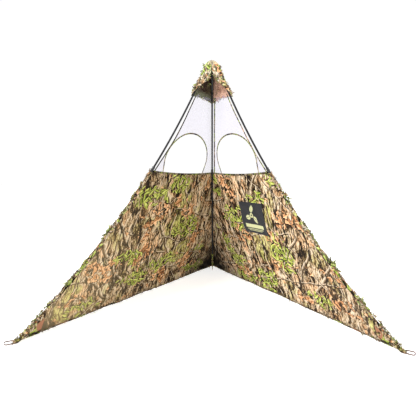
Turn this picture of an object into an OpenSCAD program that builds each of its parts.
// Three-legged pop up ground blind. Three bowed poles stand from a hub in a tripod. Cloth walls
// close the two back sides up to waist height, clear film with an arched window rises above each
// wall, and a small hood caps the hub. The front side is open. Both side legs fold at the hub.

/* [Poles] */
// Height of the pole roots above the ground
root_h = 1600; // [1560:5:1640]
// Distance of each pole root from the hub axis
root_r = 48; // [46:1:52]
// Distance from the hub axis at which the line of a pole meets the ground
foot_r = 1180; // [1140:5:1210]
// Inward bow of each pole, at the middle of its length
pole_bow = 90; // [75:1:95]
// Diameter of the glass fibre poles
pole_d = 12; // [10:0.5:12]
// Length along the pole from its root to the middle of its ferrule
ferrule_s = 752; // [700:1:800]
// Length of a ferrule
ferrule_len = 36; // [30:1:44]

/* [Walls] */
// Height of the cloth walls at the poles
wall_h = 937; // [900:1:960]
// Sag of a wall's top hem between its poles
top_sag = 13; // [4:1:20]
// Thickness of the wall cloth
cloth_t = 1.5; // [1.2:0.1:1.8]
// Height of the folded hem on the ground
hem_h = 14; // [10:1:20]
// Width of the tape along the top of a wall
tape_w = 12; // [8:1:16]

/* [Windows] */
// Half the width of an arched window
window_half = 240; // [200:5:245]
// Height above the ground at which a window is widest
window_mid = 1010; // [1000:5:1030]
// Rise of the arch above its widest place
window_rise = 178; // [150:1:185]
// Width of the binding around a window
binding_w = 9; // [6:1:12]

/* [Hood] */
// Height of the hood's lower edge
hood_h = 1415; // [1400:5:1440]
// Height of the hood's crown
crown_h = 1660; // [1656:1:1664]

/* [Hidden] */

back_azimuth = 90;
leg_spread = 120;
side_azimuth = back_azimuth + leg_spread;
panel_azimuth = back_azimuth + leg_spread / 2;
corner_angle = leg_spread / 2;
far = 4000;

// The arc of a pole, in a plane through the hub axis: x is the radius, y the height
chord = norm([foot_r - root_r, root_h]);
arc_r = (pow(chord / 2, 2) + pow(pole_bow, 2)) / (2 * pole_bow);
chord_tilt = atan2(foot_r - root_r, root_h);
half_turn = asin(chord / 2 / arc_r);
arc_centre = [root_r + foot_r, root_h] / 2
    + [root_h, foot_r - root_r] / chord * (arc_r - pole_bow);
root_angle = 180 + chord_tilt - half_turn;
arc_len = arc_r * 2 * half_turn * PI / 180;
function arc_angle(s) = root_angle + s / arc_r * 180 / PI;
function arc_point(s) = arc_centre + arc_r * [cos(arc_angle(s)), sin(arc_angle(s))];
function pole_r_at(z) = arc_centre.x - sqrt(pow(arc_r, 2) - pow(z - arc_centre.y, 2));

// Lengths along the pole, from its root
socket_start = 18;
pole_start = 34;
socket_end = 118;
stop_half = 1;
pocket_start = arc_len - 225;
pole_end = arc_len - 52;
tip_end = pole_end + 7;
pocket_end = tip_end + 3;

// Radii around the pole's centre line
pole_rad = pole_d / 2;
bore_rad = pole_rad + 0.05;
socket_rad = 9;
ferrule_rad = 9.5;
tip_rad = 7.6;
sleeve_in = 6.5;
sleeve_out = 8;
pocket_in = 8.1;
pocket_out = 9.3;
trim_w = 13;
trim_t = 2.4;

// The stake loop lies on the ground beyond the pocket
loop_start = arc_point(pocket_end).x + 12;
loop_len = 50;
loop_w = 24;
loop_band = 5;
loop_t = 2.5;
loop_z = 0.4;
loop_end = loop_start + loop_len;
loop_end_rad = loop_w / 2;

// The origin is the centre of the footprint, so the hub stands forward of it
hub_y = -(loop_end - loop_end_rad) / 4;

// The cloth passes outside the poles. Gaps are measured from the plane of a leg.
cloth_out = 10.5;
wall_gap = 9;
hem_gap = 14;
film_t = 0.8;
film_top = hood_h + 25;
film_binding_in = 29;
film_binding_out = 36;
binding_gap = 1;
seam_in = 13;
seam_out = 23;
film_corner = 11;
panel_steps = 18;
edge_steps = 28;
half_top = pole_r_at(wall_h) * sin(corner_angle);
function top_edge(y) = wall_h - top_sag * (1 - pow(y / half_top, 2));

// Hinge at a side leg's root: it turns in the plane of the two pole roots
pin_rad = 3;
eye_rad = 8.5;
tongue_t = 7;
ear_t = 4.5;
slot_t = tongue_t + 0.6;
yoke_t = slot_t + 2 * ear_t;
fold_max = 52;
root_tilt = chord_tilt - half_turn;
root_dir = [sin(root_tilt), 0, -cos(root_tilt)];
back_dir = [-sin(root_tilt) / 2, -sin(root_tilt) * sin(corner_angle), -cos(root_tilt)];
pin_dir = cross(root_dir, back_dir) / norm(cross(root_dir, back_dir));
fold_dir = cross(pin_dir, root_dir);

hub_rad = 20;
arm_len = 40;
hub_bearing = atan2(-root_r * fold_dir.x, -root_r * root_dir.x);
hub_low = root_h - 14;
hub_top = root_h + 22;
cap_h = 9;
cap_rad = 17;
screw_rad = 3;
hood_t = 1.5;

black = [0.07, 0.07, 0.07];
steel = [0.6, 0.6, 0.62];
camo = [0.48, 0.42, 0.32];
camo_dark = [0.3, 0.26, 0.2];
leaf = [0.42, 0.47, 0.22];
webbing = [0.45, 0.4, 0.33];

$fn = 64;

// ---- Frames ----

module leg(azimuth) translate([0, hub_y, 0]) rotate(azimuth) children();

module back_leg() leg(back_azimuth) children();

// side is -1 for the left and 1 for the right, which mirrors the left
module side_leg(side) mirror([side > 0 ? 1 : 0, 0, 0]) leg(side_azimuth) children();

// A wall panel: x points outwards, y runs from the back leg towards the side leg
module panel(side) mirror([side > 0 ? 1 : 0, 0, 0]) leg(panel_azimuth) children();

// The pin of a side leg: x along the pole root, y towards the back leg, z along the pin
module pin_frame()
    multmatrix([[root_dir.x, fold_dir.x, pin_dir.x, root_r],
                [root_dir.y, fold_dir.y, pin_dir.y, 0],
                [root_dir.z, fold_dir.z, pin_dir.z, root_h],
                [0, 0, 0, 1]]) children();

// z points down the pole, towards its foot, at length s from the root
module on_pole(s)
    translate([arc_point(s).x, 0, arc_point(s).y])
        rotate([0, atan2(-sin(arc_angle(s)), cos(arc_angle(s))), 0]) children();

// ---- Shapes that repeat ----

// A profile swept along the pole's arc. In the profile, negative x faces away from the bow.
module along_pole(s0, s1)
    translate([arc_centre.x, 0, arc_centre.y]) rotate([90, 0, 0]) rotate(arc_angle(s0))
        rotate_extrude(angle = arc_angle(s1) - arc_angle(s0), $fn = 256)
            translate([arc_r, 0]) children();

module pole_tube(s0, s1, outer, inner = 0)
    along_pole(s0, s1) difference() {
        circle(outer);
        if (inner > 0) circle(inner);
    }

// A sheet that follows the wall's curve between two heights
module panel_band(z0, z1, inner, thick) {
    heights = [for (i = [0:panel_steps]) z0 + (z1 - z0) * i / panel_steps];
    rotate([90, 0, 0]) linear_extrude(far, center = true) polygon(concat(
        [for (z = heights) [pole_r_at(z) / 2 + inner, z]],
        [for (i = [panel_steps:-1:0])
            [pole_r_at(heights[i]) / 2 + inner + thick, heights[i]]]));
}

// An outline in y and z, cut through the panel
module panel_cut() rotate([90, 0, 90]) linear_extrude(far) children();

// The room between the planes of the two legs, less a gap at each
module between_legs(back_gap, side_gap)
    linear_extrude(far) intersection() {
        rotate(-corner_angle) translate([-far / 2, back_gap]) square([far, far]);
        rotate(corner_angle) translate([-far / 2, -far - side_gap]) square([far, far]);
    }

// The outline between two edges that keep a distance from the wall's top edge
module edge_strip(low, high) {
    ys = [for (i = [0:edge_steps]) half_top * 1.1 * (2 * i / edge_steps - 1)];
    polygon(concat(
        [for (y = ys) [y, top_edge(y) + low]],
        [for (i = [edge_steps:-1:0]) [ys[i], top_edge(ys[i]) + high]]));
}

// Everything below the top edge, less a drop
module below_edge(drop) {
    ys = [for (i = [0:edge_steps]) half_top * 1.1 * (1 - 2 * i / edge_steps)];
    polygon(concat(
        [[-far / 2, wall_h - drop], [-far / 2, 0], [far / 2, 0], [far / 2, wall_h - drop]],
        [for (y = ys) [y, top_edge(y) - drop]]));
}

// The arch: half an ellipse on sides that draw in a little towards the wall
module window_outline(grow = 0) {
    foot = wall_h - top_sag - 20;
    draw_in = 12;
    polygon(concat(
        [for (a = [0:5:180]) [(window_half + grow) * cos(a),
                              window_mid + (window_rise + grow) * sin(a)]],
        [[-window_half - grow + draw_in, foot], [window_half + grow - draw_in, foot]]));
}

// ---- Hub ----

// One side leg's yoke: two ears on an arm, with room for the socket to swing
module yoke() pin_frame() difference() {
    union() {
        cylinder(r = eye_rad, h = yoke_t, center = true);
        rotate(hub_bearing) translate([0, -eye_rad, -yoke_t / 2])
            cube([arm_len, 2 * eye_rad, yoke_t]);
    }
    cylinder(r = eye_rad + 1.5, h = slot_t, center = true);
    cylinder(r = pin_rad, h = far, center = true);
    swing(0.1, slot_t, -80, fold_max + 40);
    swing(socket_start - 0.8, 2 * socket_rad + 1.6, -60, fold_max + 31);
}

module swing(inner, height, from, to)
    rotate(from) rotate_extrude(angle = to - from)
        translate([inner, -height / 2]) square([60, height]);

// The back leg's arm is relieved where the side sockets swing past it
module back_arm() difference() {
    back_leg() {
        on_pole(-4) cylinder(r = socket_rad + 2, h = 26);
        translate([0, -socket_rad, root_h - 12]) cube([root_r, 2 * socket_rad, 18]);
    }
    for (side = [-1, 1]) side_leg(side) pin_frame()
        swing(socket_start - 0.8, 2 * socket_rad + 1.6, -60, fold_max + 31);
}

module hub_body() color(black) difference() {
    union() {
        translate([0, hub_y, hub_low]) cylinder(r = hub_rad, h = hub_top - hub_low);
        side_leg(-1) yoke();
        side_leg(1) yoke();
        back_arm();
    }
    translate([0, hub_y, hub_top - 26]) cylinder(r = screw_rad, h = 40);
    back_leg() on_pole(2) cylinder(r = 6, h = 40);
    back_leg() on_pole(11) rotate([90, 0, 0]) cylinder(r = 2, h = 40, center = true);
}

module hub_cap() color(black) translate([0, hub_y, hub_top]) difference() {
    rotate_extrude() {
        square([cap_rad - 3, cap_h]);
        square([cap_rad, cap_h - 3]);
        translate([cap_rad - 3, cap_h - 3]) circle(3);
    }
    translate([0, 0, -1]) cylinder(r = screw_rad + 0.3, h = 30);
    translate([0, 0, cap_h - 4]) cylinder(r = 6, h = 10);
}

module cap_screw() color(steel) translate([0, hub_y, hub_top]) difference() {
    union() {
        translate([0, 0, -25]) cylinder(r = screw_rad, h = 25 + cap_h - 4);
        translate([0, 0, cap_h - 4]) cylinder(r = 5.5, h = 4.5);
    }
    translate([0, 0, cap_h - 2]) cylinder(r = 2.9, h = 5, $fn = 6);
}

module pivot_pin() color(steel) pin_frame() {
    cylinder(r = pin_rad, h = yoke_t, center = true);
    for (end = [-1, 1]) translate([0, 0, end * (yoke_t / 2 + 0.75)])
        cylinder(r = pin_rad + 2, h = 1.5, center = true);
}
module left_pivot_pin() side_leg(-1) pivot_pin();
module right_pivot_pin() side_leg(1) pivot_pin();

// ---- Poles ----

module socket_barrel() difference() {
    union() {
        pole_tube(socket_start, socket_end, socket_rad - 0.8);
        pole_tube(socket_start, socket_start + 12, socket_rad);
        pole_tube(socket_end - 10, socket_end, socket_rad);
        for (i = [1:3]) pole_tube(socket_start + 18 * i + 2, socket_start + 18 * i + 6, socket_rad);
    }
    pole_tube(pole_start - 1, socket_end + 1, bore_rad);
}

module side_socket() color(black) difference() {
    union() {
        pin_frame() {
            cylinder(r = eye_rad, h = tongue_t, center = true);
            translate([0, -6, -tongue_t / 2]) cube([socket_start + 6, 12, tongue_t]);
        }
        socket_barrel();
    }
    pin_frame() cylinder(r = pin_rad + 0.05, h = far, center = true);
}
module left_socket() side_leg(-1) side_socket();
module right_socket() side_leg(1) side_socket();

// The back socket's spigot is bolted into the hub's arm, so it doesn't turn
module back_socket() color(black) back_leg() difference() {
    union() {
        on_pole(3) cylinder(r = 5.9, h = 20);
        pole_tube(socket_start + 5, socket_end, socket_rad - 0.8);
        pole_tube(socket_start + 5, socket_start + 17, socket_rad);
        pole_tube(socket_end - 10, socket_end, socket_rad);
        for (i = [1:3]) pole_tube(socket_start + 18 * i + 2, socket_start + 18 * i + 6, socket_rad);
    }
    pole_tube(pole_start - 1, socket_end + 1, bore_rad);
    on_pole(11) rotate([90, 0, 0]) cylinder(r = 2, h = 40, center = true);
}

module back_socket_bolt() color(steel) back_leg() on_pole(11) rotate([90, 0, 0]) {
    cylinder(r = 1.95, h = 2 * socket_rad + 4, center = true);
    translate([0, 0, socket_rad + 2]) cylinder(r = 3.6, h = 2.4);
    translate([0, 0, -socket_rad - 4.4]) cylinder(r = 3.6, h = 2.4);
}

module upper_pole() color(black) pole_tube(pole_start, ferrule_s - stop_half, pole_rad);
module back_upper_pole() back_leg() upper_pole();
module left_upper_pole() side_leg(-1) upper_pole();
module right_upper_pole() side_leg(1) upper_pole();

module lower_pole() color(black) pole_tube(ferrule_s + stop_half, pole_end, pole_rad);
module back_lower_pole() back_leg() lower_pole();
module left_lower_pole() side_leg(-1) lower_pole();
module right_lower_pole() side_leg(1) lower_pole();

// A collar over the joint of two pole sections, with a stop between their ends
module ferrule() color(black) {
    low = ferrule_s - ferrule_len / 2;
    high = ferrule_s + ferrule_len / 2;
    difference() {
        union() {
            pole_tube(low, high, ferrule_rad - 1.5);
            pole_tube(low, low + 5, ferrule_rad);
            pole_tube(high - 5, high, ferrule_rad);
            pole_tube(ferrule_s - 4, ferrule_s + 4, ferrule_rad);
        }
        pole_tube(low - 1, ferrule_s - stop_half, bore_rad);
        pole_tube(ferrule_s + stop_half, high + 1, bore_rad);
    }
}
module back_ferrule() back_leg() ferrule();
module left_ferrule() side_leg(-1) ferrule();
module right_ferrule() side_leg(1) ferrule();

// A rubber cap over the pole's lower end
module pole_tip() color(black) difference() {
    pole_tube(pole_end - 22, tip_end, tip_rad);
    pole_tube(pole_end - 23, pole_end, bore_rad);
}
module back_pole_tip() back_leg() pole_tip();
module left_pole_tip() side_leg(-1) pole_tip();
module right_pole_tip() side_leg(1) pole_tip();

// ---- Cloth on the poles ----

module sleeve() color(camo)
    pole_tube(ferrule_s + ferrule_len / 2 + 2, pocket_start - 1, sleeve_out, sleeve_in);
module left_sleeve() side_leg(-1) sleeve();
module right_sleeve() side_leg(1) sleeve();

module leaf_trim() color(leaf)
    along_pole(ferrule_s + ferrule_len / 2, pocket_start - 1)
        translate([-sleeve_out - 0.4 - trim_w, -trim_t / 2]) square([trim_w, trim_t]);
module left_leaf_trim() side_leg(-1) leaf_trim();
module right_leaf_trim() side_leg(1) leaf_trim();

// A closed pocket around the pole's end, with a skirt that stands on the ground
module tip_pocket() color(camo_dark) difference() {
    union() {
        pole_tube(pocket_start, pocket_end, pocket_out);
        rotate([90, 0, 0]) linear_extrude(3, center = true) polygon([
            [arc_point(pocket_start).x + 6, 0],
            [arc_point(pocket_start).x, arc_point(pocket_start).y - 3],
            [arc_point(pocket_end).x, arc_point(pocket_end).y],
            [arc_point(pocket_end).x + 12, arc_point(pocket_end).y - 12],
            [arc_point(pocket_end).x + 12, 0]
        ]);
    }
    pole_tube(pocket_start - 1, tip_end, pocket_in);
}
module back_corner_pocket() back_leg() tip_pocket();
module left_tip_pocket() side_leg(-1) tip_pocket();
module right_tip_pocket() side_leg(1) tip_pocket();

module slot_shape(len, w) {
    translate([w / 2, 0]) circle(w / 2);
    translate([len - w / 2, 0]) circle(w / 2);
    translate([w / 2, -w / 2]) square([len - w, w]);
}

module stake_loop() color(webbing) translate([loop_start, 0, loop_z])
    linear_extrude(loop_t) difference() {
        slot_shape(loop_len, loop_w);
        translate([loop_band, 0]) slot_shape(loop_len - 2 * loop_band, loop_w - 2 * loop_band);
    }
module back_stake_loop() back_leg() stake_loop();
module left_stake_loop() side_leg(-1) stake_loop();
module right_stake_loop() side_leg(1) stake_loop();

// ---- Walls ----

module wall() color(camo) intersection() {
    panel_band(hem_h, wall_h, cloth_out, cloth_t);
    panel_cut() below_edge(tape_w);
    between_legs(0, wall_gap);
}
module left_wall() panel(-1) wall();
module right_wall() panel(1) wall();

// The hem passes over the back stake loop
module bottom_hem() color(camo_dark) difference() {
    intersection() {
        panel_band(0, hem_h, cloth_out - 1, cloth_t + 2);
        between_legs(0, hem_gap);
    }
    rotate(-corner_angle) translate([loop_start - loop_band, -loop_w / 2 - 2, -1])
        cube([loop_len + 2 * loop_band, loop_w + 4, loop_z + loop_t + 2]);
}
module left_bottom_hem() panel(-1) bottom_hem();
module right_bottom_hem() panel(1) bottom_hem();

module top_tape() color(camo_dark) intersection() {
    panel_band(wall_h - top_sag - tape_w - 2, wall_h + 1, cloth_out - 0.7, cloth_t + 1.4);
    panel_cut() edge_strip(-tape_w, 0);
    between_legs(0, hem_gap);
}
module left_top_tape() panel(-1) top_tape();
module right_top_tape() panel(1) top_tape();

// ---- Film and windows ----

module above_wall(inner, thick) intersection() {
    panel_band(wall_h - top_sag - 2, film_top, inner, thick);
    panel_cut() edge_strip(0, far);
    children();
}

// The film's back corner is cut away where it tucks under the hood
module film() color([0.9, 0.9, 0.95, 0.3]) above_wall(cloth_out + 0.3, film_t) difference() {
    between_legs(0, film_binding_out);
    panel_cut() window_outline(binding_w);
    rotate(-corner_angle) translate([-far / 2, film_corner - far, hood_h - 5])
        cube([far, far, far]);
}
module left_film() panel(-1) film();
module right_film() panel(1) film();

module window_binding() color(camo_dark) above_wall(cloth_out - 0.3, 2) panel_cut() difference() {
    window_outline(binding_w);
    window_outline();
}
module left_window_binding() panel(-1) window_binding();
module right_window_binding() panel(1) window_binding();

// The binding of the film's side edge, narrowed where the window's own binding passes it
module film_binding() color(camo_dark) above_wall(cloth_out - 0.3, 2) difference() {
    between_legs(0, film_binding_in);
    between_legs(-1, film_binding_out);
    panel_cut() window_outline(binding_w + binding_gap);
}
module left_film_binding() panel(-1) film_binding();
module right_film_binding() panel(1) film_binding();

module back_seam_binding() color(camo_dark) panel(1) above_wall(cloth_out - 0.8, 1) difference() {
    between_legs(seam_in, 0);
    between_legs(seam_out, -1);
}

// ---- Label ----

label_w = 284;
label_h = 230;
label_low = 494;
label_mid = 2;
label_lean = 30;

module label_patch() color([0.12, 0.12, 0.12]) panel(1) intersection() {
    panel_band(label_low, label_low + label_h, cloth_out - 1.5, 1.2);
    panel_cut() translate([label_mid - label_w / 2, label_low]) polygon([
        [0, 0], [label_w, 0], [label_w + label_lean, label_h], [label_lean, label_h]
    ]);
}

// ---- Hood ----

// The cap's whole form, shrunk inside by the cloth's thickness
module hood_form(inset) hull() {
    for (a = [0:leg_spread:359]) rotate(back_azimuth + a) {
        translate([pole_r_at(hood_h) + 2, 0, hood_h - (inset > 0 ? 1 : 0)])
            cylinder(r = 13 - inset, h = 1, $fn = 32);
        translate([root_r, 0, root_h + 6]) cylinder(r = 15 - inset, h = 1, $fn = 32);
    }
    translate([0, 0, crown_h - 14]) sphere(r = 14 - inset, $fn = 32);
}

module hood_sector(from, to) translate([0, hub_y, 0]) intersection() {
    difference() {
        hood_form(0);
        hood_form(hood_t);
    }
    linear_extrude(far) polygon([[0, 0], far * [cos(from), sin(from)],
        far * [cos((from + to) / 2), sin((from + to) / 2)], far * [cos(to), sin(to)]]);
}

// The front is cut up the middle: a slit that widens like a bell
module hood_front(from, to) difference() {
    hood_sector(from, to);
    rotate([90, 0, 0]) linear_extrude(far)
        polygon([
            [0, root_h - 12], [12, root_h - 51], [28, root_h - 78], [92, root_h - 124],
            [118, hood_h - 20], [-118, hood_h - 20],
            [-92, root_h - 124], [-28, root_h - 78], [-12, root_h - 51]
        ]);
}

module hood_back_left() color(camo) hood_sector(back_azimuth, side_azimuth);
module hood_back_right() color(camo) hood_sector(-side_azimuth + 180, back_azimuth);
module hood_front_left() color(camo) hood_front(side_azimuth, 270);
module hood_front_right() color(camo) hood_front(270, 540 - side_azimuth);

hub_body();
hub_cap();
cap_screw();
left_pivot_pin();
right_pivot_pin();
back_socket();
back_socket_bolt();
back_upper_pole();
back_ferrule();
back_lower_pole();
back_pole_tip();
back_corner_pocket();
back_stake_loop();
left_wall();
right_wall();
left_bottom_hem();
right_bottom_hem();
left_top_tape();
right_top_tape();
left_film();
right_film();
left_window_binding();
right_window_binding();
left_film_binding();
right_film_binding();
back_seam_binding();
label_patch();
hood_back_left();
hood_back_right();
hood_front_left();
hood_front_right();
left_socket();
left_upper_pole();
left_ferrule();
left_lower_pole();
left_pole_tip();
left_sleeve();
left_leaf_trim();
left_tip_pocket();
left_stake_loop();
right_socket();
right_upper_pole();
right_ferrule();
right_lower_pole();
right_pole_tip();
right_sleeve();
right_leaf_trim();
right_tip_pocket();
right_stake_loop();
